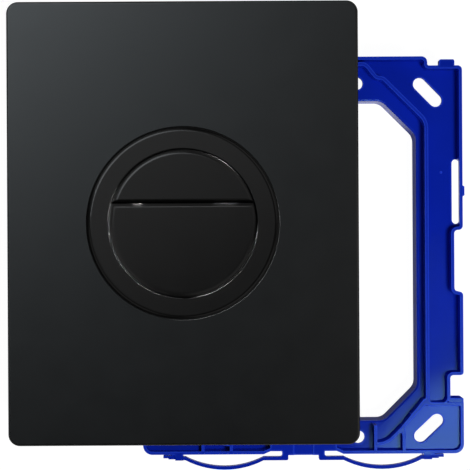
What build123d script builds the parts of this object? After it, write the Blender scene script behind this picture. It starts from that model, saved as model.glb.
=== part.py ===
from build123d import *
import os
from math import sin, cos, tan, radians, hypot, acos

# ---------------------------------------------------------------------------
# Two-flush button plate lying on its mounting frame.  Millimetres, +Z up.
# Origin: middle of the overall box in X and Y, on the surface it lies on.
# ---------------------------------------------------------------------------

# placing of the two halves of the set
PLATE_X, PLATE_Y = -24.5, 6.525        # middle of the plate
FRAME_X, FRAME_Y = 29.0, -8.275        # middle of the frame
Z_FACE = 32.5                          # front face of the plate
Z_FRAME_TOP = 20.0                     # front edges of the frame's ribs

# face plate
PLATE_W, PLATE_H = 156.0, 197.0
PLATE_CORNER_R = 5.2
PLATE_EDGE_R = 1.2
PLATE_DEPTH = 12.5
PLATE_FACE_T = 2.5
RIM_T = 2.0
OPENING_R, OPENING_EDGE_R = 42.9, 0.15
BOSS_RING_R, BOSS_R, BOSS_END, PILOT_R = 50.0, 3.5, -8.0, 1.3
PLATE_RIB_T, PLATE_RIB_END = 1.2, -4.5

# trim ring
RING_TOP = 1.2
RING_OUT_R, RING_IN_R = 42.4, 33.05
RING_OUTER_EDGE_R, RING_INNER_EDGE_R = 1.8, 0.3
RING_FLANGE_R = 46.0
RING_LIP_END = -2.0
RING_LIP_R = 35.2

# buttons
BUTTON_R, BUTTON_FLAT_R = 32.7, 31.1
BUTTON_TOP_R, BUTTON_EDGE_R = 2.2, 0.6     # roundings above and below the bevel
SPLIT_TOP_R = 0.8
BUTTON_TOP, BUTTON_EDGE, CAP_UNDER = 1.2, 0.25, -0.6
SPLIT_LOW, SPLIT_HIGH = 8.95, 9.55     # edges of the gap between the caps
SPLIT_BEVEL_LOW, SPLIT_BEVEL_HIGH = 1.6, 0.9
TRAVEL = 4.0
SLIDER_R, SLIDER_UNDER, SKIRT_END, SKIRT_T = 32.5, -2.2, -6.0, 1.5
LUG_R, LUG_TOP, LUG_END = 34.6, -2.3, -3.8
STEM_R, STEM_END = 2.0, -8.4
STEM_ROOT_R, STEM_ROOT_END = 3.2, -2.8   # collar at the root of each stem
SMALL_STEMS = [(-18.0, 17.0), (18.0, 17.0)]
LARGE_STEMS = [(-24.0, -8.0), (24.0, -8.0)]
PEG_R = 1.2
SMALL_PEGS = [(-11.0, 25.0), (11.0, 25.0)]
LARGE_PEGS = [(-14.0, -22.0), (14.0, -22.0)]

# housing
HOUSING_R, HOUSING_T = 46.0, 1.6
FLOOR_TOP, FLOOR_T = -10.7, 1.8
SLEEVE_R, SLEEVE_BORE_R, SLEEVE_TOP = 3.6, 2.06, -6.9
EAR_R, EAR_T, EAR_HOLE_R = 3.6, 2.0, 1.7

# bellows, springs and nipples (plate-local centres)
SMALL_AXIS = (5.0, 20.0)
LARGE_AXIS = (5.0, -9.5)
SMALL_BELLOWS_R, LARGE_BELLOWS_R = 8.0, 14.0
BELLOWS_FOLD, BELLOWS_WALL, BELLOWS_TOP = 1.4, 0.9, -2.25
BELLOWS_FOOT_T = 1.0
SMALL_SPRING_R, SMALL_WIRE_R = 4.6, 0.3
LARGE_SPRING_R, LARGE_WIRE_R = 8.0, 0.4
SPRING_TURNS = 3.0
NIPPLE_R, NIPPLE_BORE_R, BARB_R, NIPPLE_END = 2.0, 1.0, 2.45, -21.3
NIPPLE_FLANGE_R, NIPPLE_FLANGE_T = 3.4, 1.0
WASHER_R, WASHER_T = 3.4, 0.7

# mounting frame
F_HALF_W, F_TOP, F_BOTTOM = 72.6, 89.85, -89.85
Z_COLLAR, Z_FLOOR_UNDER, Z_FLOOR = 0.0, 10.0, 12.0
WALL_T, RIB_T, COLLAR_T = 1.4, 1.6, 1.7
Z_CORNER, CORNER_T = 15.5, 2.0          # floor of the lower corner panels
BOW_UNDER, LUG_UNDER = 17.2, 16.5       # undersides of the bow springs and of the lugs on the top step
NOTCH_TOP, NOTCH_LOW = -54.5, -64.95   # lower notch in each side
LEDGE_Z = Z_FRAME_TOP - 0.5            # ledge beside each lower corner panel
COLLAR_EDGE_R = 1.0                    # rounded edge between the collar and the floor
SWEEP_R, SWEEP_T, SWEEP_V, SWEEP_DIAG = 10.0, 1.3, -85.4, 123.0   # curved ribs of the bottom rail
OPEN_HALF_W, OPEN_TOP, OPEN_BOTTOM = 52.6, 70.5, -76.0
OPEN_DIAG_TOP, OPEN_DIAG_BOTTOM, OPEN_R = 107.5, 113.4, 6.0
HOLE_R = 2.95
HOLE_U, HOLE_TOP, HOLE_BOTTOM = 25.5, 78.65, -83.5
SLOT_R = 3.0
SLOT_TOP = [(54.5, 78.1), (61.7, 70.75)]
SLOT_BOTTOM = [(61.1, -75.6), (53.7, -82.55)]
TONGUE_V0, TONGUE_V1, TONGUE_U, TONGUE_UNDER = 14.0, 43.6, 69.0, 17.0


def rounded(points):
    """Closed outline from (x, y, corner radius) points, as a face."""
    n = len(points)
    corners = []
    for i in range(n):
        x0, y0 = points[i - 1][:2]
        x1, y1, r = points[i]
        x2, y2 = points[(i + 1) % n][:2]
        if r <= 0:
            corners.append(((x1, y1), None, (x1, y1)))
            continue
        la, lb = hypot(x0 - x1, y0 - y1), hypot(x2 - x1, y2 - y1)
        ax, ay = (x0 - x1) / la, (y0 - y1) / la
        bx, by = (x2 - x1) / lb, (y2 - y1) / lb
        half = acos(max(-1.0, min(1.0, ax * bx + ay * by))) / 2
        t = r / tan(half)
        mx, my = ax + bx, ay + by
        lm = hypot(mx, my)
        d = r / sin(half) - r
        corners.append(((x1 + ax * t, y1 + ay * t),
                        (x1 + mx / lm * d, y1 + my / lm * d),
                        (x1 + bx * t, y1 + by * t)))
    edges = []
    for i in range(n):
        s, m, e = corners[i]
        if m is not None:
            edges.append(Edge.make_three_point_arc(s, m, e))
        nxt = corners[(i + 1) % n][0]
        if hypot(nxt[0] - e[0], nxt[1] - e[1]) > 1e-6:
            edges.append(Edge.make_line(e, nxt))
    return Face(Wire(edges))


def mirrored(right):
    """Full outline from its right half, listed from the top to the bottom."""
    return right + [(-x, y, r) for x, y, r in reversed(right)]


def prism(face, z0, z1):
    """Straight solid on a flat outline, from z0 up to z1."""
    return extrude(Pos(0, 0, z0) * face, z1 - z0, dir=(0, 0, 1))


def block(x0, x1, y0, y1, z0, z1):
    return Pos((x0 + x1) / 2, (y0 + y1) / 2, (z0 + z1) / 2) * Box(x1 - x0, y1 - y0, z1 - z0)


def rod(r, z0, z1, at=(0.0, 0.0)):
    return Pos(at[0], at[1], (z0 + z1) / 2) * Cylinder(r, z1 - z0)


def turned(profile, at=(0.0, 0.0)):
    """Solid of revolution about Z from (radius, z) points."""
    pts = [(r, 0, z) for r, z in profile]
    edges = [Edge.make_line(pts[i], pts[(i + 1) % len(pts)]) for i in range(len(pts))]
    return Pos(at[0], at[1], 0) * revolve(Face(Wire(edges)), Axis.Z, 360)


def long_hole(ends, r, z0, z1):
    """Round-ended slot cutter between two centres."""
    (x0, y0), (x1, y1) = ends
    d = hypot(x1 - x0, y1 - y0)
    nx, ny = -(y1 - y0) / d * r, (x1 - x0) / d * r
    side = rounded([(x0 + nx, y0 + ny, 0), (x1 + nx, y1 + ny, 0),
                    (x1 - nx, y1 - ny, 0), (x0 - nx, y0 - ny, 0)])
    return prism(side, z0, z1) + rod(r, z0, z1, (x0, y0)) + rod(r, z0, z1, (x1, y1))


def flip(ends):
    return [(-x, y) for x, y in ends]


def one(shape):
    """The single solid of a shape."""
    solids = shape.solids()
    assert len(solids) == 1, len(solids)
    return solids[0]


def on_plate(shape):
    return Pos(PLATE_X, PLATE_Y, Z_FACE) * shape


def on_frame(shape):
    return Pos(FRAME_X, FRAME_Y, 0) * shape


# ---------------------------------------------------------------------------
# face plate: flat face with a rim, open behind, round opening in the middle
# ---------------------------------------------------------------------------
hw, hh = PLATE_W / 2, PLATE_H / 2


def plate_outline(inset):
    r = max(PLATE_CORNER_R - inset, 0.8)
    w, h = hw - inset, hh - inset
    return rounded([(w, h, r), (w, -h, r), (-w, -h, r), (-w, h, r)])


plate = prism(plate_outline(0), -PLATE_DEPTH, 0)
plate = fillet(plate.edges().group_by(Axis.Z)[-1], PLATE_EDGE_R)
plate -= prism(plate_outline(RIM_T), -PLATE_DEPTH - 1, -PLATE_FACE_T)
boss_at = [(BOSS_RING_R * cos(radians(a)), BOSS_RING_R * sin(radians(a))) for a in (45, 135, 225, 315)]
# stiffening ribs behind the face
ribs = Part()
for x in (-63.0, 63.0):
    ribs += block(x - PLATE_RIB_T / 2, x + PLATE_RIB_T / 2, -hh + 1, hh - 1, PLATE_RIB_END, -PLATE_FACE_T + 0.2)
for y in (-76.0, -62.0, 62.0, 76.0):
    ribs += block(-hw + 1, hw - 1, y - PLATE_RIB_T / 2, y + PLATE_RIB_T / 2, PLATE_RIB_END, -PLATE_FACE_T + 0.2)
for x in (-24.0, 24.0):
    for s in (-1, 1):
        y0, y1 = sorted((s * 47.0, s * (hh - 1)))
        ribs += block(x - PLATE_RIB_T / 2, x + PLATE_RIB_T / 2, y0, y1, PLATE_RIB_END, -PLATE_FACE_T + 0.2)
ribs -= rod(46.3, -20, 5)
plate += ribs
# locating collar for the trim ring and four screw bosses
plate += rod(47.5, PLATE_RIB_END, -PLATE_FACE_T + 0.2) - rod(46.3, -20, 5)
for p in boss_at:
    plate += rod(BOSS_R, BOSS_END, -PLATE_FACE_T + 0.2, p) - rod(46.3, -20, 5)
for p in boss_at:
    plate -= rod(PILOT_R, BOSS_END - 1, -3.2, p)
# hook ledges inside the top rim, snap ledges inside the long rims, spring ledges inside the bottom rim
for x in (-44.0, 44.0):
    plate += block(x - 6, x + 6, hh - RIM_T - 2.6, hh - RIM_T + 0.2, -11.2, -9.6)
    plate += block(x - 8, x + 8, -hh + RIM_T - 0.2, -hh + RIM_T + 1.2, -11.6, -10.2)
for s in (-1, 1):
    x0, x1 = sorted((s * (hw - RIM_T - 2.0), s * (hw - RIM_T + 0.2)))
    for y in (-60.0, 30.0):
        plate += block(x0, x1, y - 5, y + 5, -11.6, -10.2)
plate -= rod(OPENING_R, -20, 5)
face_edge = [e for e in plate.edges().filter_by(GeomType.CIRCLE)
             if abs(e.radius - OPENING_R) < 1e-3 and abs(e.center().Z) < 1e-3]
plate = fillet(face_edge, OPENING_EDGE_R)
face_plate = one(on_plate(plate))

# ---------------------------------------------------------------------------
# trim ring: flat top, rounded outer edge, flange behind the plate's face
# ---------------------------------------------------------------------------
ring = turned([(RING_IN_R, RING_TOP), (RING_OUT_R, RING_TOP), (RING_OUT_R, -PLATE_FACE_T),
               (RING_FLANGE_R, -PLATE_FACE_T), (RING_FLANGE_R, -4.0), (40.4, -4.0), (40.4, -0.6),
               (RING_LIP_R, -0.6), (RING_LIP_R, RING_LIP_END), (RING_IN_R, RING_LIP_END)])
soft = [e for e in ring.edges().filter_by(GeomType.CIRCLE)
        if abs(e.center().Z - RING_TOP) < 1e-3 and (abs(e.radius - RING_IN_R) < 1e-3)]
ring = fillet(soft, RING_INNER_EDGE_R)
shoulder = [e for e in ring.edges().filter_by(GeomType.CIRCLE)
            if abs(e.center().Z - RING_TOP) < 1e-3 and abs(e.radius - RING_OUT_R) < 1e-3]
ring = fillet(shoulder, RING_OUTER_EDGE_R)
trim_ring = one(on_plate(ring))

# ---------------------------------------------------------------------------
# button caps: one bevelled disc, split across above its middle
# ---------------------------------------------------------------------------
disc = turned([(0, CAP_UNDER), (BUTTON_R, CAP_UNDER), (BUTTON_R, BUTTON_EDGE), (BUTTON_FLAT_R, BUTTON_TOP),
               (0, BUTTON_TOP)])
for r, z, soft_r in ((BUTTON_FLAT_R, BUTTON_TOP, BUTTON_TOP_R), (BUTTON_R, BUTTON_EDGE, BUTTON_EDGE_R)):
    disc = fillet([e for e in disc.edges().filter_by(GeomType.CIRCLE)
                   if abs(e.center().Z - z) < 1e-3 and abs(e.radius - r) < 1e-3], soft_r)


def split_prism(profile, soft):
    """Prism along X on a (y, z) outline, with some of its long edges rounded."""
    pts = [(-60, y, z) for y, z in profile]
    edges = [Edge.make_line(pts[i], pts[(i + 1) % len(pts)]) for i in range(len(pts))]
    solid = extrude(Face(Wire(edges)), 120, dir=(1, 0, 0))
    for y, z, r in soft:
        solid = fillet([e for e in solid.edges().filter_by(Axis.X)
                        if abs(e.center().Y - y) < 1e-3 and abs(e.center().Z - z) < 1e-3], r)
    return solid


large_cap = disc & split_prism([(-50, CAP_UNDER - 1), (SPLIT_LOW, CAP_UNDER - 1), (SPLIT_LOW, BUTTON_EDGE),
                                (SPLIT_LOW - SPLIT_BEVEL_LOW, BUTTON_TOP), (-50, BUTTON_TOP)],
                               [(SPLIT_LOW - SPLIT_BEVEL_LOW, BUTTON_TOP, SPLIT_TOP_R), (SPLIT_LOW, BUTTON_EDGE, BUTTON_EDGE_R)])
small_cap = disc & split_prism([(50, CAP_UNDER - 1), (SPLIT_HIGH, CAP_UNDER - 1), (SPLIT_HIGH, BUTTON_EDGE),
                                (SPLIT_HIGH + SPLIT_BEVEL_HIGH, BUTTON_TOP), (50, BUTTON_TOP)],
                               [(SPLIT_HIGH + SPLIT_BEVEL_HIGH, BUTTON_TOP, SPLIT_TOP_R), (SPLIT_HIGH, BUTTON_EDGE, BUTTON_EDGE_R)])
for p in LARGE_PEGS:
    large_cap += rod(PEG_R, SLIDER_UNDER, CAP_UNDER + 0.1, p)
for p in SMALL_PEGS:
    small_cap += rod(PEG_R, SLIDER_UNDER, CAP_UNDER + 0.1, p)
large_button_cap = one(on_plate(large_cap))
small_button_cap = one(on_plate(small_cap))

# ---------------------------------------------------------------------------
# sliders: carrier plate, skirt, retaining lugs under the ring's lip, guide stems
# ---------------------------------------------------------------------------


def slider(cut, stems, pegs, lug_angles):
    """cut: solid that keeps this button's side of the split, already set back from the gap."""
    body = rod(SLIDER_R, SKIRT_END, CAP_UNDER) & cut(0.0)
    hollow = rod(SLIDER_R - SKIRT_T, SKIRT_END - 1, SLIDER_UNDER) & cut(SKIRT_T)
    body -= hollow
    collar = rod(LUG_R, LUG_END, LUG_TOP) - rod(SLIDER_R - 0.6, LUG_END - 1, LUG_TOP + 1)
    for a in lug_angles:
        wedge = Rot(0, 0, a) * block(20, 40, -4.5, 4.5, LUG_END - 1, LUG_TOP + 1)
        body += collar & wedge
    for p in stems:
        body += rod(STEM_R, STEM_END, SLIDER_UNDER + 0.2, p)
        body += rod(STEM_ROOT_R, STEM_ROOT_END, SLIDER_UNDER + 0.2, p)
    for p in pegs:
        body -= rod(PEG_R + 0.05, SKIRT_END - 1, 1, p)
    return body


large_slider = slider(lambda t: block(-60, 60, -60, SPLIT_LOW - 0.15 - t, -30, 10),
                      LARGE_STEMS, LARGE_PEGS, (205, 270, 335))
small_slider = slider(lambda t: block(-60, 60, SPLIT_HIGH + 0.15 + t, 60, -30, 10),
                      SMALL_STEMS, SMALL_PEGS, (50, 130))
large_button_slider = one(on_plate(large_slider))
small_button_slider = one(on_plate(small_slider))

# ---------------------------------------------------------------------------
# housing: shallow cup with guide sleeves, nipple holes and four screw ears
# ---------------------------------------------------------------------------
floor_under = FLOOR_TOP - FLOOR_T
cup = rod(HOUSING_R, floor_under, -4.0) - rod(HOUSING_R - HOUSING_T, FLOOR_TOP, 5)
for p, a in zip(boss_at, (45, 135, 225, 315)):
    ear = rod(EAR_R, BOSS_END - EAR_T, BOSS_END, p)
    ear += Rot(0, 0, a) * block(HOUSING_R - 1.0, BOSS_RING_R, -EAR_R, EAR_R, BOSS_END - EAR_T, BOSS_END)
    cup += ear
    cup -= rod(EAR_HOLE_R, BOSS_END - 5, BOSS_END + 5, p)
for p in SMALL_STEMS + LARGE_STEMS:
    cup += rod(SLEEVE_R, FLOOR_TOP - 0.2, SLEEVE_TOP, p)
for p in SMALL_STEMS + LARGE_STEMS:
    cup -= rod(SLEEVE_BORE_R, floor_under - 1, SLEEVE_TOP + 1, p)
for p in (SMALL_AXIS, LARGE_AXIS):
    cup -= rod(NIPPLE_R + 0.05, floor_under - 1, FLOOR_TOP + 1, p)
# drain slots low in the wall
for a in (0, 90, 180, 270):
    cup -= Rot(0, 0, a) * block(HOUSING_R - 3, HOUSING_R + 2, -4, 4, FLOOR_TOP, FLOOR_TOP + 1.5)
button_housing = one(on_plate(cup))

# ---------------------------------------------------------------------------
# four pan-head screws, heads behind the ears
# ---------------------------------------------------------------------------
head_top = BOSS_END - EAR_T
screw = turned([(0, -3.8), (1.25, -3.8), (1.25, head_top), (2.8, head_top), (2.8, head_top - 1.3),
                (2.2, head_top - 2.1), (0, head_top - 2.1)])
for a in (0, 90):
    screw -= Rot(0, 0, a) * block(-1.6, 1.6, -0.35, 0.35, head_top - 3, head_top - 1.3)
housing_screws = Compound(children=[one(on_plate(Pos(x, y, 0) * screw)) for x, y in boss_at])

# ---------------------------------------------------------------------------
# rubber bellows: three folds, closed top, foot on the housing floor
# ---------------------------------------------------------------------------


def bellows(r, axis):
    n = 3
    z0, z1 = FLOOR_TOP + BELLOWS_FOOT_T, BELLOWS_TOP - 1.2
    step = (z1 - z0) / n
    outer = [(r, FLOOR_TOP), (r, z0 - 0.1)]
    inner = []
    for i in range(n):
        za, zb = z0 + step * i, z0 + step * (i + 1)
        outer.append((r - BELLOWS_FOLD, za + step * 0.5))
        outer.append((r if i < n - 1 else r - BELLOWS_FOLD, zb))
        inner.append((r - BELLOWS_FOLD - BELLOWS_WALL, za + step * 0.5))
        inner.append((r - BELLOWS_WALL if i < n - 1 else r - BELLOWS_FOLD - BELLOWS_WALL, zb))
    outer.append((r - BELLOWS_FOLD, BELLOWS_TOP))
    profile = outer + [(0, BELLOWS_TOP), (0, BELLOWS_TOP - 0.95), (inner[-1][0], BELLOWS_TOP - 0.95)]
    profile += list(reversed(inner))
    profile += [(r - BELLOWS_WALL - 0.2, z0), (NIPPLE_R + 0.05, z0), (NIPPLE_R + 0.05, FLOOR_TOP)]
    return turned(profile, axis)


small_bellows = one(on_plate(bellows(SMALL_BELLOWS_R, SMALL_AXIS)))
large_bellows = one(on_plate(bellows(LARGE_BELLOWS_R, LARGE_AXIS)))

# ---------------------------------------------------------------------------
# coil springs inside the bellows
# ---------------------------------------------------------------------------


def coil(r, wire, axis):
    z0 = FLOOR_TOP + BELLOWS_FOOT_T + wire + 0.02
    z1 = BELLOWS_TOP - 0.95 - wire - 0.02
    path = Helix((z1 - z0) / SPRING_TURNS, z1 - z0, r)
    tangent = path % 0
    section = Plane(origin=path @ 0, z_dir=tangent) * Circle(wire)
    return Pos(axis[0], axis[1], z0) * sweep(section, path=path, is_frenet=True)


small_return_spring = one(on_plate(coil(SMALL_SPRING_R, SMALL_WIRE_R, SMALL_AXIS)))
large_return_spring = one(on_plate(coil(LARGE_SPRING_R, LARGE_WIRE_R, LARGE_AXIS)))

# ---------------------------------------------------------------------------
# barbed hose nipples and the washers that hold them behind the housing floor
# ---------------------------------------------------------------------------
flange_z = FLOOR_TOP + BELLOWS_FOOT_T
barb_step = 2.35


def nipple(axis):
    z = -14.25
    profile = [(NIPPLE_BORE_R, flange_z + NIPPLE_FLANGE_T), (NIPPLE_FLANGE_R, flange_z + NIPPLE_FLANGE_T),
               (NIPPLE_FLANGE_R, flange_z), (NIPPLE_R, flange_z), (NIPPLE_R, z)]
    for i in range(3):
        profile += [(BARB_R, z - barb_step * i), (1.85, z - barb_step * (i + 1))]
    profile += [(NIPPLE_BORE_R, NIPPLE_END)]
    return turned(profile, axis)


small_hose_nipple = one(on_plate(nipple(SMALL_AXIS)))
large_hose_nipple = one(on_plate(nipple(LARGE_AXIS)))


def washer(axis):
    w = rod(WASHER_R, floor_under - WASHER_T, floor_under) - rod(NIPPLE_R + 0.02, floor_under - 5, floor_under + 5)
    for a in (0, 60, 120):
        w -= Rot(0, 0, a) * block(-2.7, 2.7, -0.3, 0.3, floor_under - 5, floor_under + 5)
    return Pos(axis[0], axis[1], 0) * w


nipple_retaining_washers = Compound(children=[one(on_plate(washer(SMALL_AXIS))), one(on_plate(washer(LARGE_AXIS)))])

# ---------------------------------------------------------------------------
# mounting frame: one moulding, symmetrical left to right
# ---------------------------------------------------------------------------
outline_pts = mirrored([
    (56.9, F_TOP, 2.6), (56.9, 85.7, 0.8), (F_HALF_W, 85.7, 2.0),
    (F_HALF_W, 11.2, 2.0), (68.7, 11.2, 1.6), (68.7, -16.7, 1.8), (F_HALF_W, -16.7, 1.8),
    (F_HALF_W, NOTCH_TOP, 1.5), (66.6, NOTCH_TOP, 1.4), (66.6, NOTCH_LOW, 0), (F_HALF_W, NOTCH_LOW, 0.4),
    (F_HALF_W, F_BOTTOM, 4.2), (18.1, F_BOTTOM, 0.5), (15.0, -88.5, 0.5), (9.6, -88.5, 0), (9.6, -90.3, 0)])
outline = rounded(outline_pts)


def inset_outline(t):
    """The outline set back by t, with its corner radii changed to match."""
    return rounded(mirrored([
        (56.9 - t, F_TOP - t, max(2.6 - t, 0)), (56.9 - t, 85.7 - t, 0.8 + t), (F_HALF_W - t, 85.7 - t, max(2.0 - t, 0)),
        (F_HALF_W - t, 11.2 + t, max(2.0 - t, 0)), (68.7 - t, 11.2 + t, 1.6 + t),
        (68.7 - t, -16.7 - t, 1.8 + t), (F_HALF_W - t, -16.7 - t, max(1.8 - t, 0)),
        (F_HALF_W - t, NOTCH_TOP + t, max(1.5 - t, 0)), (66.6 - t, NOTCH_TOP + t, 1.4 + t),
        (66.6 - t, NOTCH_LOW - t, 0), (F_HALF_W - t, NOTCH_LOW - t, 0),
        (F_HALF_W - t, F_BOTTOM + t, 4.2 - t), (18.1, F_BOTTOM + t, 0.5), (15.0, -88.5 + t, 0.5),
        (9.6 - t, -88.5 + t, 0), (9.6 - t, -90.3 + t, 0)]))


def opening_outline(t):
    """Eight-sided opening, grown outwards by t."""
    k = t * (2 ** 0.5)
    u, top, bot = OPEN_HALF_W + t, OPEN_TOP + t, OPEN_BOTTOM - t
    dt, db = OPEN_DIAG_TOP + k, OPEN_DIAG_BOTTOM + k
    r = OPEN_R + t
    return rounded(mirrored([(dt - top, top, r), (u, dt - u, r), (u, u - db, r), (db + bot, bot, r)]))


# floor with collar
frame = prism(outline, Z_FLOOR_UNDER, Z_FLOOR)
frame += prism(opening_outline(COLLAR_T), Z_COLLAR, Z_FLOOR)
# outer wall
wall = prism(outline, Z_FLOOR - 0.5, Z_FRAME_TOP) - prism(inset_outline(WALL_T), Z_FLOOR - 1, Z_FRAME_TOP + 1)


# rib around the opening, swung outwards round the fixing holes
def rib_outline(t):
    k = t * (2 ** 0.5)
    top, rail, low = 86.55 + t, 56.35 + t, -84.55 - t
    return rounded(mirrored([
        (28.9 + t * 0.48, top, 3.5 + t), (33.9 + t * 0.48, 80.3 + t, 2.6 - t), (36.7 + t * 0.41, 80.3 + t, 4.0 + t),
        (rail, 117.0 + k - rail, 8.0 + t), (rail, rail - 121.9 - k, 4.0 + t),
        (121.9 + k + low, low, 3.5 + t)]))


rib = prism(rib_outline(RIB_T / 2), Z_FLOOR - 0.5, Z_FRAME_TOP) - prism(rib_outline(-RIB_T / 2), Z_FLOOR - 1, Z_FRAME_TOP + 1)
rib -= block(-48.9, 48.9, -88, -72.1, Z_FLOOR - 2, Z_FRAME_TOP + 2)
# the lower corner ribs are thicker, and sweep round into the bottom rail
for s in (-1, 1):
    rib += prism(rounded([(s * 46.0, -77.9, 0), (s * 54.8, -68.3, 0), (s * 55.6, -65.2, 0),
                          (s * 54.6, -65.2, 0), (s * 44.6, -77.48, 0)]), Z_FLOOR - 0.5, Z_FRAME_TOP)
    low, high = SWEEP_V - SWEEP_T / 2, SWEEP_V + SWEEP_T / 2
    d_low, d_high = SWEEP_DIAG + SWEEP_T / 2 * 2 ** 0.5, SWEEP_DIAG - SWEEP_T / 2 * 2 ** 0.5
    sweep = prism(rounded([(s * 33.0, low, 0), (s * (d_low + low), low, SWEEP_R + SWEEP_T / 2), (s * 45.5, 45.5 - d_low, 0),
                           (s * 45.5, -70.0, 0), (s * 33.0, -70.0, 0)]), Z_FLOOR - 0.5, Z_FRAME_TOP)
    sweep -= prism(rounded([(s * 32.0, high, 0), (s * (d_high + high), high, SWEEP_R - SWEEP_T / 2), (s * 47.0, 47.0 - d_high, 0),
                            (s * 47.0, -60.0, 0), (s * 32.0, -60.0, 0)]), Z_FLOOR - 1, Z_FRAME_TOP + 1)
    rib += sweep
    # rounded end of the small pocket beside it
    rib += prism(rounded([(s * 45.2, -78.6, 0), (s * 45.2, -81.3, 0), (s * 44.75, -81.3, 0), (s * 44.55, -80.85, 0),
                          (s * 44.2, -80.6, 0), (s * 43.7, -80.55, 0), (s * 43.3, -80.75, 0), (s * 43.0, -80.6, 0)]),
                 Z_FLOOR - 0.5, Z_FRAME_TOP)
walls = wall + rib
# straight ribs of the bottom rail and the corner panels
for s in (-1, 1):
    for u, v0, v1 in ((32.7, -77.05, -89.2), (45.5, -77.0, -89.2)):
        walls += block(s * u - 0.65, s * u + 0.65, v1, v0, Z_FLOOR - 0.5, Z_FRAME_TOP)
    # raised floor of the lower corner panel
    walls += prism(rounded([(s * 45.5, -76.9, 0), (s * 54.6, -67.6, 0), (s * 72.0, -67.6, 0),
                            (s * 72.0, -87.0, 3.0), (s * 69.5, -89.2, 0), (s * 45.5, -89.2, 0)]),
                   Z_FLOOR - 0.5, Z_CORNER)
    x0, x1 = sorted((s * 56.4, s * (F_HALF_W - 0.3)))
    walls += block(x0, x1, -68.5, -66.8, Z_FLOOR - 0.5, Z_FRAME_TOP)
    # rounded corners at the bottom of the side panel
    for u, v, du, r in ((F_HALF_W - 6.0 - WALL_T, -66.8, -1, 2.2), (57.15, -66.8, 1, 1.4)):
        corner = rounded([(s * (u + du * r), v, 0), (s * u, v, 0), (s * u, v + r, 0)])
        corner += Pos(s * (u + du * r / 2), v + r / 2, 0) * Rectangle(r, r)
        web = prism(corner, Z_FLOOR - 0.5, Z_FRAME_TOP) - rod(r, Z_FLOOR - 1, Z_FRAME_TOP + 1, (s * (u + du * r), v + r))
        walls += web
    # the rib and the panel wall run together at the inner corner
    walls += prism(rounded([(s * 55.2, -68.0, 0), (s * 57.6, -68.0, 0), (s * 57.6, -66.7, 0), (s * 57.1, -65.4, 0),
                            (s * 56.4, -65.2, 0)]), Z_FLOOR - 0.5, Z_FRAME_TOP)
    # lower ledge beside the corner panel
    x0, x1 = sorted((s * 66.0, s * (F_HALF_W + 0.1)))
    walls -= block(x0, x1, -66.8, NOTCH_LOW + 0.25, LEDGE_Z, Z_FRAME_TOP + 1)
    x0, x1 = sorted((s * 66.0, s * (F_HALF_W - 0.3)))
    walls += block(x0, x1, -66.9, NOTCH_LOW - 0.35, Z_FLOOR - 0.5, LEDGE_Z)
# flat block in the middle of the bottom rail, with a shallow pad recess
walls += prism(rounded(mirrored([(15.0, -82.0, 0.5), (15.0, -88.3, 0), (9.6, -88.3, 0), (9.6, -90.2, 0)])),
               Z_FLOOR - 0.5, Z_FRAME_TOP)
walls -= block(-4.25, 4.25, -91.0, -81.0, Z_FRAME_TOP - 0.5, Z_FRAME_TOP + 1)
frame += walls
# the raised corner panels are hollow behind
for s in (-1, 1):
    frame -= prism(rounded([(s * 47.2, -79.2, 0.8), (s * 56.2, -70.2, 0.8), (s * 71.0, -70.2, 0.8),
                            (s * 71.0, -87.6, 3.0), (s * 47.2, -87.6, 0.8)]), Z_FLOOR_UNDER - 1, Z_CORNER - CORNER_T)
# bow springs below the bottom edge, with their feet and end blocks
for s in (-1, 1):
    foot = rounded([(s * 6.9, -88.9, 0), (s * 9.6, -88.4, 0), (s * 9.6, -91.0, 1.1), (s * 18.3, -91.0, 0),
                    (s * 18.3, -92.6, 0), (s * 6.9, -92.6, 0.8)])
    frame += prism(foot, BOW_UNDER, Z_FRAME_TOP)
    outer_arc = Edge.make_three_point_arc((s * 18.1, -92.6), (s * 35.35, -96.75), (s * 53.5, -92.35))
    inner_arc = Edge.make_three_point_arc((s * 18.1, -91.0), (s * 35.35, -95.2), (s * 53.5, -90.85))
    bow = Face(Wire([outer_arc, Edge.make_line((s * 53.5, -92.35), (s * 53.5, -90.85)), inner_arc,
                     Edge.make_line((s * 18.1, -91.0), (s * 18.1, -92.6))]))
    frame += prism(bow, BOW_UNDER, Z_FRAME_TOP)
    x0, x1 = sorted((s * 53.2, s * 54.8))
    frame += block(x0, x1, -92.35, -90.85, BOW_UNDER, Z_FRAME_TOP)
    x0, x1 = sorted((s * 54.5, s * 58.1))
    frame += block(x0, x1, -92.5, -89.3, Z_FLOOR, Z_FRAME_TOP)
    x0, x1 = sorted((s * 58.0, s * 61.2))
    frame += block(x0, x1, -92.0, -90.3, Z_FLOOR, Z_FRAME_TOP - 0.4)
    x0, x1 = sorted((s * 61.0, s * 63.5))
    frame += block(x0, x1, -91.5, -90.3, Z_FLOOR, Z_FRAME_TOP - 0.4)
    x0, x1 = sorted((s * 57.9, s * 59.4))
    frame += block(x0, x1, -90.6, -89.3, Z_FLOOR, Z_FRAME_TOP - 0.4)
    # lug on the top step
    lug = rounded([(s * 62.2, 85.2, 0), (s * 62.2, 88.45, 0.9), (s * 69.2, 88.45, 0.9), (s * 69.2, 85.2, 0)])
    frame += prism(lug, LUG_UNDER, Z_FRAME_TOP)
    # gate pip on the panel
    frame += rod(0.6, Z_FLOOR - 0.2, Z_FLOOR + 0.4, (s * 64.1, 37.65))
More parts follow.
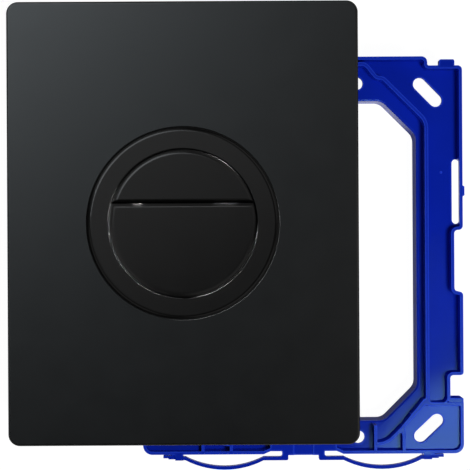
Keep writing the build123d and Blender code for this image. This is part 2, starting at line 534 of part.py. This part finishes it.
# openings
frame -= prism(opening_outline(0), Z_COLLAR - 1, Z_FRAME_TOP + 1)
for s in (-1, 1):
    for v in (HOLE_TOP, HOLE_BOTTOM):
        frame -= rod(HOLE_R, Z_FLOOR_UNDER - 1, Z_FLOOR + 1, (s * HOLE_U, v))
for ends in (SLOT_TOP, SLOT_BOTTOM):
    frame -= long_hole(ends, SLOT_R, Z_FLOOR_UNDER - 1, Z_CORNER + 1)
    frame -= long_hole(flip(ends), SLOT_R, Z_FLOOR_UNDER - 1, Z_CORNER + 1)
# snap tongues: the outer wall is cut free of the floor beside a slot, with a nub outside
for s in (-1, 1):
    wall_in = F_HALF_W - WALL_T
    mid = (TONGUE_U + F_HALF_W) / 2
    half = (F_HALF_W - TONGUE_U) / 2
    frame -= long_hole([(s * mid, TONGUE_V0 + half), (s * mid, TONGUE_V1 - half)], half,
                       Z_FLOOR_UNDER - 1, TONGUE_UNDER)
    x0, x1 = sorted((s * (wall_in - 0.01), s * (F_HALF_W + 1)))
    frame -= block(x0, x1, TONGUE_V0 + half, TONGUE_V1 - half, Z_FLOOR_UNDER - 1, TONGUE_UNDER)
    nub = rounded([(s * (F_HALF_W - 0.5), 26.4, 0), (s * F_HALF_W, 26.4, 0), (s * (F_HALF_W + 0.9), 26.9, 0.3),
                   (s * (F_HALF_W + 0.9), 30.9, 0.3), (s * F_HALF_W, 31.4, 0), (s * (F_HALF_W - 0.5), 31.4, 0)])
    frame += prism(nub, TONGUE_UNDER + 0.3, Z_FRAME_TOP - 0.4)
# rounded edge between the collar and the floor
def near_opening(e):
    c = e.center()
    return (abs(e.bounding_box().min.Z - Z_FLOOR) < 1e-4 and abs(e.bounding_box().max.Z - Z_FLOOR) < 1e-4
            and abs(c.X) < OPEN_HALF_W + 0.2 and OPEN_BOTTOM - 0.2 < c.Y < OPEN_TOP + 0.2
            and c.X + c.Y < OPEN_DIAG_TOP + 0.5 and -c.X + c.Y < OPEN_DIAG_TOP + 0.5
            and c.X - c.Y < OPEN_DIAG_BOTTOM + 0.5 and -c.X - c.Y < OPEN_DIAG_BOTTOM + 0.5)


frame = fillet([e for e in frame.edges() if near_opening(e)], COLLAR_EDGE_R)
mounting_frame = one(on_frame(frame))

# ---------------------------------------------------------------------------
pieces = {
    "face_plate": face_plate,
    "trim_ring": trim_ring,
    "small_button_cap": small_button_cap,
    "large_button_cap": large_button_cap,
    "small_button_slider": small_button_slider,
    "large_button_slider": large_button_slider,
    "button_housing": button_housing,
    "housing_screws": housing_screws,
    "small_bellows": small_bellows,
    "large_bellows": large_bellows,
    "small_return_spring": small_return_spring,
    "large_return_spring": large_return_spring,
    "small_hose_nipple": small_hose_nipple,
    "large_hose_nipple": large_hose_nipple,
    "nipple_retaining_washers": nipple_retaining_washers,
    "mounting_frame": mounting_frame,
}
os.makedirs("parts", exist_ok=True)
for name, shape in pieces.items():
    export_step(shape, f"parts/{name}.step")
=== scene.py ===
import math
import bpy
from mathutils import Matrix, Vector


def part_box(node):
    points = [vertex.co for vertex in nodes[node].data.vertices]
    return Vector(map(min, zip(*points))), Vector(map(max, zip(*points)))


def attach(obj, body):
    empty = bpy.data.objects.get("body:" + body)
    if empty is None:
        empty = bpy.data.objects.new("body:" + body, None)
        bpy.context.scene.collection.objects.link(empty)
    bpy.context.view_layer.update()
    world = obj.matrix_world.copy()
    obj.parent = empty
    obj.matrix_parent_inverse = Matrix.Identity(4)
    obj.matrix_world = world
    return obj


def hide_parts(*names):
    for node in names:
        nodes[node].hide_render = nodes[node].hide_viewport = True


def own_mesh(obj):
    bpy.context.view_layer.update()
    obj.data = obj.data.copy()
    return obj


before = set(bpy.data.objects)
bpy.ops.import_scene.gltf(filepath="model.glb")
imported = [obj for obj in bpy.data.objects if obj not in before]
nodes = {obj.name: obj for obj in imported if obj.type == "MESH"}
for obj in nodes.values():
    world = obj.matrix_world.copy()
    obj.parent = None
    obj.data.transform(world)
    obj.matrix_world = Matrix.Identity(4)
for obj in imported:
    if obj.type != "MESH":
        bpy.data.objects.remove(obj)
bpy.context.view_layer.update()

scene = bpy.context.scene

# ---------------------------------------------------------------------------
# camera: straight down, a touch of roll, as the plate and frame lie in the picture
# ---------------------------------------------------------------------------
CAM_X, CAM_Y, CAM_H = -0.0015, 0.001175, 0.600
cam_data = bpy.data.cameras.new("camera")
cam_data.sensor_width = 36.0
cam_data.lens = 98.2
cam_data.clip_start = 0.01
cam_data.clip_end = 10.0
cam = bpy.data.objects.new("camera", cam_data)
cam.location = (CAM_X, CAM_Y, CAM_H)
cam.rotation_euler = (0.0, 0.0, -0.0055)
scene.collection.objects.link(cam)
scene.camera = cam

scene.view_settings.view_transform = "Standard"
scene.view_settings.look = "None"
scene.view_settings.exposure = 0.0
scene.view_settings.gamma = 1.0


# ---------------------------------------------------------------------------
# material helpers
# ---------------------------------------------------------------------------
def material(name):
    m = bpy.data.materials.new(name)
    m.use_nodes = True
    nt = m.node_tree
    nt.nodes.clear()
    out = nt.nodes.new("ShaderNodeOutputMaterial")
    bsdf = nt.nodes.new("ShaderNodeBsdfPrincipled")
    nt.links.new(bsdf.outputs["BSDF"], out.inputs["Surface"])
    return m, nt, bsdf


def coords(nt, scale=(1.0, 1.0, 1.0)):
    tc = nt.nodes.new("ShaderNodeTexCoord")
    mp = nt.nodes.new("ShaderNodeMapping")
    mp.inputs["Scale"].default_value = scale
    nt.links.new(tc.outputs["Object"], mp.inputs["Vector"])
    return mp.outputs["Vector"]


def noise(nt, vec, scale, detail=4.0, rough=0.5):
    n = nt.nodes.new("ShaderNodeTexNoise")
    n.inputs["Scale"].default_value = scale
    n.inputs["Detail"].default_value = detail
    n.inputs["Roughness"].default_value = rough
    nt.links.new(vec, n.inputs["Vector"])
    return n.outputs["Fac"]


def ramp(nt, fac, stops):
    r = nt.nodes.new("ShaderNodeValToRGB")
    el = r.color_ramp.elements
    while len(el) > 1:
        el.remove(el[-1])
    el[0].position = stops[0][0]
    el[0].color = stops[0][1]
    for p, c in stops[1:]:
        e = el.new(p)
        e.color = c
    nt.links.new(fac, r.inputs["Fac"])
    return r.outputs["Color"]


def spread(nt, fac, lo, hi):
    mr = nt.nodes.new("ShaderNodeMapRange")
    mr.inputs["From Min"].default_value = 0.25
    mr.inputs["From Max"].default_value = 0.75
    mr.inputs["To Min"].default_value = lo
    mr.inputs["To Max"].default_value = hi
    nt.links.new(fac, mr.inputs["Value"])
    return mr.outputs["Result"]


def bump(nt, height, strength, distance, normal=None):
    b = nt.nodes.new("ShaderNodeBump")
    b.inputs["Strength"].default_value = strength
    b.inputs["Distance"].default_value = distance
    nt.links.new(height, b.inputs["Height"])
    if normal is not None:
        nt.links.new(normal, b.inputs["Normal"])
    return b.outputs["Normal"]


def grey(v):
    return (v, v, v, 1.0)


def moulded(name, dark, light, rough, rough_var, grain, grain_strength, specular=0.5, wave=0.0, coat=0.0, sheen=(1.0, 1.0, 1.0, 1.0), painted_highlight_colour=None):
    """Moulded plastic: faint cloudy colour, uneven gloss, a fine spark-eroded grain, and, where a highlight colour
    is given, a painted highlight on narrow rib tops and edges.
    """
    m, nt, bsdf = material(name)
    vec = coords(nt)
    cloud = noise(nt, vec, 26.0, 3.0, 0.55)
    colour = ramp(nt, cloud, [(0.30, dark), (0.72, light)])
    if painted_highlight_colour is not None:
        # painted highlight: narrow rib tops and edges, found by a short occlusion test inside the plastic, get a
        # paler blue base colour that stands in for the light they catch
        ao = nt.nodes.new("ShaderNodeAmbientOcclusion")
        ao.inside = True
        ao.only_local = True
        ao.samples = 6
        ao.inputs["Distance"].default_value = 0.0010
        painted_rib_highlight = ramp(nt, ao.outputs["AO"], [(0.50, grey(1.0)), (0.97, grey(0.0))])
        # the bow springs beyond the lower edge get less of this painted highlight than the rib tops
        split = nt.nodes.new("ShaderNodeSeparateXYZ")
        nt.links.new(vec, split.inputs["Vector"])
        inboard = nt.nodes.new("ShaderNodeMapRange")
        inboard.inputs["From Min"].default_value = -0.0992
        inboard.inputs["From Max"].default_value = -0.0982
        inboard.inputs["To Min"].default_value = 0.08
        nt.links.new(split.outputs["Y"], inboard.inputs["Value"])
        less = nt.nodes.new("ShaderNodeMath")
        less.operation = "MULTIPLY"
        nt.links.new(painted_rib_highlight, less.inputs[0])
        nt.links.new(inboard.outputs["Result"], less.inputs[1])
        painted_highlight_mask = less.outputs["Value"]
        mix = nt.nodes.new("ShaderNodeMix")
        mix.data_type = "RGBA"
        nt.links.new(painted_highlight_mask, mix.inputs["Factor"])
        nt.links.new(colour, mix.inputs["A"])
        pale = tuple(c * 1.07 for c in painted_highlight_colour[:3]) + (1.0,)
        nt.links.new(ramp(nt, cloud, [(0.30, painted_highlight_colour), (0.72, pale)]), mix.inputs["B"])
        colour = mix.outputs["Result"]
    nt.links.new(colour, bsdf.inputs["Base Color"])
    patch = noise(nt, vec, 60.0, 4.0, 0.6)
    gloss = spread(nt, patch, rough - rough_var, rough + rough_var)
    if painted_highlight_colour is not None:
        # rib tops are duller than the flat panels
        dull = nt.nodes.new("ShaderNodeMath")
        dull.operation = "MULTIPLY_ADD"
        dull.inputs[1].default_value = 0.28
        nt.links.new(painted_highlight_mask, dull.inputs[0])
        nt.links.new(gloss, dull.inputs[2])
        gloss = dull.outputs["Value"]
        # bow springs, and the outer walls that face up the frame, are kept matt: they look dark in the picture
        facing = nt.nodes.new("ShaderNodeSeparateXYZ")
        nt.links.new(nt.nodes.new("ShaderNodeNewGeometry").outputs["Normal"], facing.inputs["Vector"])
        up = nt.nodes.new("ShaderNodeMapRange")
        up.inputs["From Min"].default_value = 0.4
        up.inputs["From Max"].default_value = 0.7
        nt.links.new(facing.outputs["Y"], up.inputs["Value"])
        outer = nt.nodes.new("ShaderNodeMapRange")
        outer.inputs["From Min"].default_value = 0.0925
        outer.inputs["From Max"].default_value = 0.0940
        nt.links.new(split.outputs["X"], outer.inputs["Value"])
        both = nt.nodes.new("ShaderNodeMath")
        both.operation = "MULTIPLY"
        nt.links.new(up.outputs["Result"], both.inputs[0])
        nt.links.new(outer.outputs["Result"], both.inputs[1])
        keen = nt.nodes.new("ShaderNodeMapRange")
        keen.inputs["To Min"].default_value = specular
        keen.inputs["To Max"].default_value = 0.0
        nt.links.new(both.outputs["Value"], keen.inputs["Value"])
        shine = nt.nodes.new("ShaderNodeMath")
        shine.operation = "MULTIPLY"
        nt.links.new(keen.outputs["Result"], shine.inputs[0])
        nt.links.new(inboard.outputs["Result"], shine.inputs[1])
        nt.links.new(shine.outputs["Value"], bsdf.inputs["Specular IOR Level"])
    nt.links.new(gloss, bsdf.inputs["Roughness"])
    bsdf.inputs["Specular IOR Level"].default_value = specular
    bsdf.inputs["Specular Tint"].default_value = sheen
    bsdf.inputs["Coat Weight"].default_value = coat
    bsdf.inputs["Coat Roughness"].default_value = 0.04
    n = None
    if wave > 0.0:
        n = bump(nt, noise(nt, vec, 45.0, 1.0, 0.4), wave, 0.0006)
    g = noise(nt, vec, grain, 2.0, 0.5)
    nt.links.new(bump(nt, g, grain_strength, 0.00003, n), bsdf.inputs["Normal"])
    return m


def metal(name, dark, light, rough):
    m, nt, bsdf = material(name)
    vec = coords(nt)
    cloud = noise(nt, vec, 300.0, 3.0, 0.6)
    nt.links.new(ramp(nt, cloud, [(0.3, dark), (0.7, light)]), bsdf.inputs["Base Color"])
    nt.links.new(spread(nt, noise(nt, vec, 900.0, 3.0, 0.6), rough - 0.06, rough + 0.08), bsdf.inputs["Roughness"])
    bsdf.inputs["Metallic"].default_value = 1.0
    return m


plate_mat = moulded("plate_black_matt", (0.0010, 0.0011, 0.0012, 1), (0.0014, 0.0015, 0.0016, 1), 0.42, 0.02, 2600.0, 0.25)
ring_mat = moulded("trim_black_satin", grey(0.0010), grey(0.0014), 0.25, 0.02, 2600.0, 0.10)
cap_mat = moulded("button_black_satin", grey(0.0010), grey(0.0014), 0.25, 0.02, 2600.0, 0.10)
# the frame's last colour is the painted highlight colour: a paler blue painted on narrow rib tops and edges
blue_mat = moulded("frame_blue_gloss", (0.0042, 0.0235, 0.530, 1), (0.0052, 0.0285, 0.620, 1), 0.11, 0.03, 1400.0, 0.05, 0.5, 0.06, 0.0, (0.30, 0.65, 1.0, 1.0), (0.020, 0.072, 0.93, 1))
carrier_mat = moulded("carrier_black_plain", grey(0.010), grey(0.015), 0.50, 0.05, 1800.0, 0.25)
housing_mat = moulded("housing_black_plain", grey(0.016), grey(0.022), 0.42, 0.05, 1800.0, 0.25)
white_mat = moulded("nipple_white_plain", (0.74, 0.74, 0.71, 1), (0.82, 0.82, 0.80, 1), 0.38, 0.05, 1800.0, 0.2)
rubber_mat = moulded("bellows_rubber", grey(0.018), grey(0.030), 0.62, 0.06, 1500.0, 0.35)
zinc_mat = metal("zinc_steel", (0.50, 0.51, 0.52, 1), (0.68, 0.69, 0.70, 1), 0.32)
spring_mat = metal("spring_steel", (0.42, 0.43, 0.44, 1), (0.60, 0.61, 0.62, 1), 0.28)

paint = {
    "face_plate": plate_mat, "trim_ring": ring_mat, "small_button_cap": cap_mat, "large_button_cap": cap_mat,
    "small_button_slider": carrier_mat, "large_button_slider": carrier_mat, "button_housing": housing_mat,
    "housing_screws": zinc_mat, "small_bellows": rubber_mat, "large_bellows": rubber_mat,
    "small_return_spring": spring_mat, "large_return_spring": spring_mat,
    "small_hose_nipple": white_mat, "large_hose_nipple": white_mat,
    "nipple_retaining_washers": spring_mat, "mounting_frame": blue_mat,
}
for name, m in paint.items():
    o = nodes[name]
    for i in range(len(o.data.materials)):
        o.data.materials[i] = m
    if len(o.data.materials) == 0:
        o.data.materials.append(m)


# ---------------------------------------------------------------------------
# softened moulding edges
# ---------------------------------------------------------------------------
def soften(name, width, segments=3, angle=30.0):
    o = nodes[name]
    w = o.modifiers.new("weld", "WELD")
    w.merge_threshold = 2e-6
    d = o.modifiers.new("flat", "DECIMATE")
    d.decimate_type = "DISSOLVE"
    d.angle_limit = math.radians(0.3)
    b = o.modifiers.new("edge", "BEVEL")
    b.limit_method = "ANGLE"
    b.angle_limit = math.radians(angle)
    b.width = width
    b.segments = segments
    b.use_clamp_overlap = True
    b.harden_normals = False
    n = o.modifiers.new("normals", "WEIGHTED_NORMAL")
    n.keep_sharp = False
    n.weight = 80


soften("mounting_frame", 0.00045, 3)

# ---------------------------------------------------------------------------
# copies of the bellows and springs, each with a mesh of its own, put in place of the originals
# ---------------------------------------------------------------------------
shown = dict(nodes)


def shortens(name):
    src = nodes[name]
    o = bpy.data.objects.new(name + "_flexing", src.data.copy())
    o.matrix_world = src.matrix_world.copy()
    scene.collection.objects.link(o)
    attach(o, "plate_and_frame")
    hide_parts(name)
    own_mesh(o)
    shown[name] = o


for which in ("small", "large"):
    shortens(which + "_bellows")
    shortens(which + "_return_spring")

# ---------------------------------------------------------------------------
# floor and studio light
# ---------------------------------------------------------------------------
S = 3.0


def plane(name, z):
    me = bpy.data.meshes.new(name)
    me.from_pydata([(-S, -S, 0), (S, -S, 0), (S, S, 0), (-S, S, 0)], [], [(0, 1, 2, 3)])
    o = bpy.data.objects.new(name, me)
    scene.collection.objects.link(o)
    o.location.z = z
    return o


# white floor as the camera sees it
floor = plane("floor", -0.0002)
fm, nt, bsdf = material("floor_white")
bsdf.inputs["Base Color"].default_value = (0.10, 0.10, 0.10, 1)
bsdf.inputs["Roughness"].default_value = 0.9
bsdf.inputs["Emission Color"].default_value = (1, 1, 1, 1)
bsdf.inputs["Emission Strength"].default_value = 0.985
floor.data.materials.append(fm)
floor.visible_glossy = False
floor.visible_diffuse = False
floor.visible_transmission = False
floor.visible_shadow = False
# what the object's own faces see of it: a pale table with real shadows
table = plane("floor_bounce", -0.0004)
tm, nt, bsdf = material("floor_pale")
bsdf.inputs["Base Color"].default_value = (0.80, 0.80, 0.80, 1)
bsdf.inputs["Roughness"].default_value = 0.9
bsdf.inputs["Emission Color"].default_value = (1, 1, 1, 1)
bsdf.inputs["Emission Strength"].default_value = 0.08
table.data.materials.append(tm)
table.visible_camera = False

world = bpy.data.worlds.new("studio")
scene.world = world
world.use_nodes = True
bg = world.node_tree.nodes["Background"]
bg.inputs["Color"].default_value = (1.0, 1.0, 1.0, 1)
bg.inputs["Strength"].default_value = 0.028


def softbox(name, azimuth, zenith, dist, size_x, size_y, watts, color=(1, 1, 1), target=(0.0, 0.0, 0.02), only=None, shade=None):
    """Soft area light seen from target at a compass angle from +X and an angle down from straight overhead."""
    a, z = math.radians(azimuth), math.radians(zenith)
    t = Vector(target)
    d = bpy.data.lights.new(name, "AREA")
    d.shape = "RECTANGLE"
    d.size = size_x
    d.size_y = size_y
    d.energy = watts
    d.color = color
    o = bpy.data.objects.new(name, d)
    o.location = t + dist * Vector((math.sin(z) * math.cos(a), math.sin(z) * math.sin(a), math.cos(z)))
    o.rotation_euler = (t - o.location).to_track_quat("-Z", "Y").to_euler()
    scene.collection.objects.link(o)
    if only is not None:
        group = bpy.data.collections.new(name + "_lit")
        for n in only:
            group.objects.link(shown[n])
        o.light_linking.receiver_collection = group
    if shade is not None:
        group = bpy.data.collections.new(name + "_shade")
        for n in shade:
            group.objects.link(shown[n])
        o.light_linking.blocker_collection = group
    return o


frame_side = ["mounting_frame"]
trim_side = ["trim_ring", "small_button_cap", "large_button_cap"]
cap_side = ["small_button_cap", "large_button_cap"]
cover_side = [n for n in paint if n not in frame_side + trim_side]
PLATE = (-0.0245, 0.0065, 0.0325)
RAIL = (0.085, -0.03, 0.018)
SIDE = (0.085, -0.06, 0.018)
CORNER = (0.090, -0.090, 0.0155)

# light on the plate: a wide panel to the upper left, a small one to the right
softbox("plate_key", 132, 35, 1.2, 0.80, 0.60, 8.8, (0.90, 1.0, 1.06), PLATE, cover_side)
softbox("plate_fill", -8, 48, 0.5, 0.35, 0.35, 0.40, (1, 0.96, 0.92), PLATE, cover_side)
# light on the ring and buttons: a sheet that grades their faces, a strip that draws their edges, dim panels
# round about for the bevels, and small ones for the glints
softbox("ring_sheet", 120, 20, 1.2, 0.87, 0.87, 0.80, (1, 1, 1), PLATE, ["trim_ring"])
softbox("ring_over", -60, 1, 1.2, 1.0, 1.0, 0.36, (1, 1, 1), PLATE, ["trim_ring"])
softbox("cap_sheet", 120, 20, 1.2, 0.87, 0.87, 0.96, (1, 1, 1), PLATE, cap_side)
softbox("trim_key", 130, 35, 1.2, 0.80, 0.62, 4.0, (0.94, 1.0, 1.04), PLATE, trim_side)
softbox("cap_round_left", 205, 36, 1.2, 1.0, 0.7, 0.70, (1, 1, 1), PLATE, cap_side)
softbox("cap_round_front", -55, 36, 1.2, 1.0, 0.7, 0.55, (1, 1, 1), PLATE, cap_side)
softbox("cap_round_right", 20, 36, 1.2, 0.9, 0.7, 0.55, (1, 1, 1), PLATE, cap_side)
softbox("cap_line", 90, 30, 1.2, 0.5, 0.12, 1.0, (1, 1, 1), PLATE, ["large_button_cap"])
# dim panels all round the plate, so that it reads as satin black from the sides
for i, turn in enumerate((38, 128, 218, 308)):
    softbox("surround_%d" % i, turn, 65, 1.2, 1.6, 0.8, 1.1, (1, 0.98, 0.96), PLATE, cover_side + trim_side)
# panels below the height of the faces: they reach only the rounded edges
softbox("edge_upper_left", 128, 104, 1.2, 1.4, 0.45, 5.0, (0.97, 1.0, 1.02), PLATE, trim_side, trim_side)
softbox("edge_right", 28, 104, 1.2, 1.4, 0.45, 4.0, (1, 1, 1), PLATE, trim_side, trim_side)
softbox("ring_right", 28, 104, 1.2, 1.4, 0.45, 2.5, (1, 1, 1), PLATE, ["trim_ring"], ["trim_ring"])
softbox("ring_front", -50, 104, 1.2, 1.6, 0.45, 6.0, (1, 1, 1), PLATE, ["trim_ring"], ["trim_ring"])
softbox("cap_left", 192, 108, 1.2, 1.4, 0.75, 42.0, (1, 1, 1), PLATE, cap_side, cap_side)
softbox("cap_low", -55, 104, 1.2, 1.4, 0.45, 8.0, (1, 1, 1), PLATE, ["large_button_cap"], cap_side)
softbox("cap_back", 76, 104, 1.2, 1.3, 0.45, 9.0, (1, 1, 1), PLATE, ["small_button_cap"], cap_side)
softbox("cap_glint", 59, 100, 1.2, 0.10, 0.10, 16.0, (1, 1, 1), PLATE, ["small_button_cap"], cap_side)


def glint(name, x, y, facing, cone, watts, only):
    """Small spot that makes a short bright mark on an edge which faces the given compass angle."""
    a = math.radians(facing)
    point = Vector((x, y, 0.0328))
    view = (Vector((CAM_X, CAM_Y, CAM_H)) - point).normalized()
    along = Vector((-math.sin(a), math.cos(a), 0.0))
    out = Vector((math.cos(a), math.sin(a), 0.0))
    d = bpy.data.lights.new(name, "SPOT")
    d.energy = watts
    d.spot_size = math.radians(cone)
    d.spot_blend = 0.3
    d.shadow_soft_size = 0.002
    o = bpy.data.objects.new(name, d)
    o.location = point + 0.12 * (out * 0.99 - along * view.dot(along) + Vector((0.0, 0.0, 0.105))).normalized()
    o.rotation_euler = (point - o.location).to_track_quat("-Z", "Y").to_euler()
    o.visible_camera = False
    scene.collection.objects.link(o)
    group = bpy.data.collections.new(name + "_lit")
    group.objects.link(nodes[only])
    o.light_linking.receiver_collection = group
    o.light_linking.blocker_collection = group


glint("cap_spark", -0.0444, 0.0151, 90, 1.2, 3.6, "large_button_cap")
glint("cap_gleam", -0.0057, 0.0151, 90, 4.6, 0.20, "large_button_cap")


def hub(name, height, facing, cone, watts, only):
    """Small spot in the middle of the ring, just lower than a face, so that it reaches only the rounded edge round it."""
    low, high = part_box("trim_ring")
    middle = Vector(((low[0] + high[0]) / 2, (low[1] + high[1]) / 2, height))
    a = math.radians(facing)
    d = bpy.data.lights.new(name, "SPOT")
    d.energy = watts
    d.spot_size = math.radians(cone)
    d.spot_blend = 0.6
    d.shadow_soft_size = 0.0018
    o = bpy.data.objects.new(name, d)
    o.location = middle
    o.rotation_euler = Vector((math.cos(a), math.sin(a), 0.0)).to_track_quat("-Z", "Y").to_euler()
    o.visible_camera = False
    scene.collection.objects.link(o)
    group = bpy.data.collections.new(name + "_lit")
    group.objects.link(nodes[only])
    o.light_linking.receiver_collection = group
    far = bpy.data.collections.new(name + "_shade")
    far.objects.link(nodes["mounting_frame"])
    o.light_linking.blocker_collection = far


hub("opening_line", 0.0303, -40, 126, 0.07, "face_plate")
RING_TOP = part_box("trim_ring")[1][2]
hub("ring_line", RING_TOP - 0.0022, 317, 84, 0.06, "trim_ring")
hub("ring_line_left", RING_TOP - 0.0022, 205, 116, 0.055, "trim_ring")
# light on the frame: a panel close to overhead without glare, glossy ones to the right and in front
key = softbox("frame_key", 2, 9, 0.52, 0.10, 0.10, 1.16, (1, 1, 1), SIDE, frame_side)
key.visible_glossy = False
gloss = softbox("frame_gloss", -46.8, 15.4, 0.6, 0.12, 0.12, 0.20, (1, 1, 1), CORNER, frame_side, ["face_plate"])
gloss.visible_diffuse = False
side = softbox("frame_side", -5, 52, 1.0, 0.9, 0.7, 8.0, (1, 1, 1), RAIL, frame_side)
side.visible_diffuse = False
front = softbox("frame_front", -90, 52, 1.0, 0.9, 0.7, 3.6, (1, 1, 1), RAIL, frame_side)
front.visible_diffuse = False
softbox("frame_low", -90, 62, 1.0, 0.5, 0.3, 1.8, (1, 1, 1), RAIL, frame_side)
# even light on the floor
room = softbox("room", -50, 35, 1.6, 0.6, 0.6, 18.5, (1, 1, 1), (0, 0, 0))
room_lit = bpy.data.collections.new("room_lit")
room_lit.objects.link(floor)
room_lit.objects.link(table)
room.light_linking.receiver_collection = room_lit
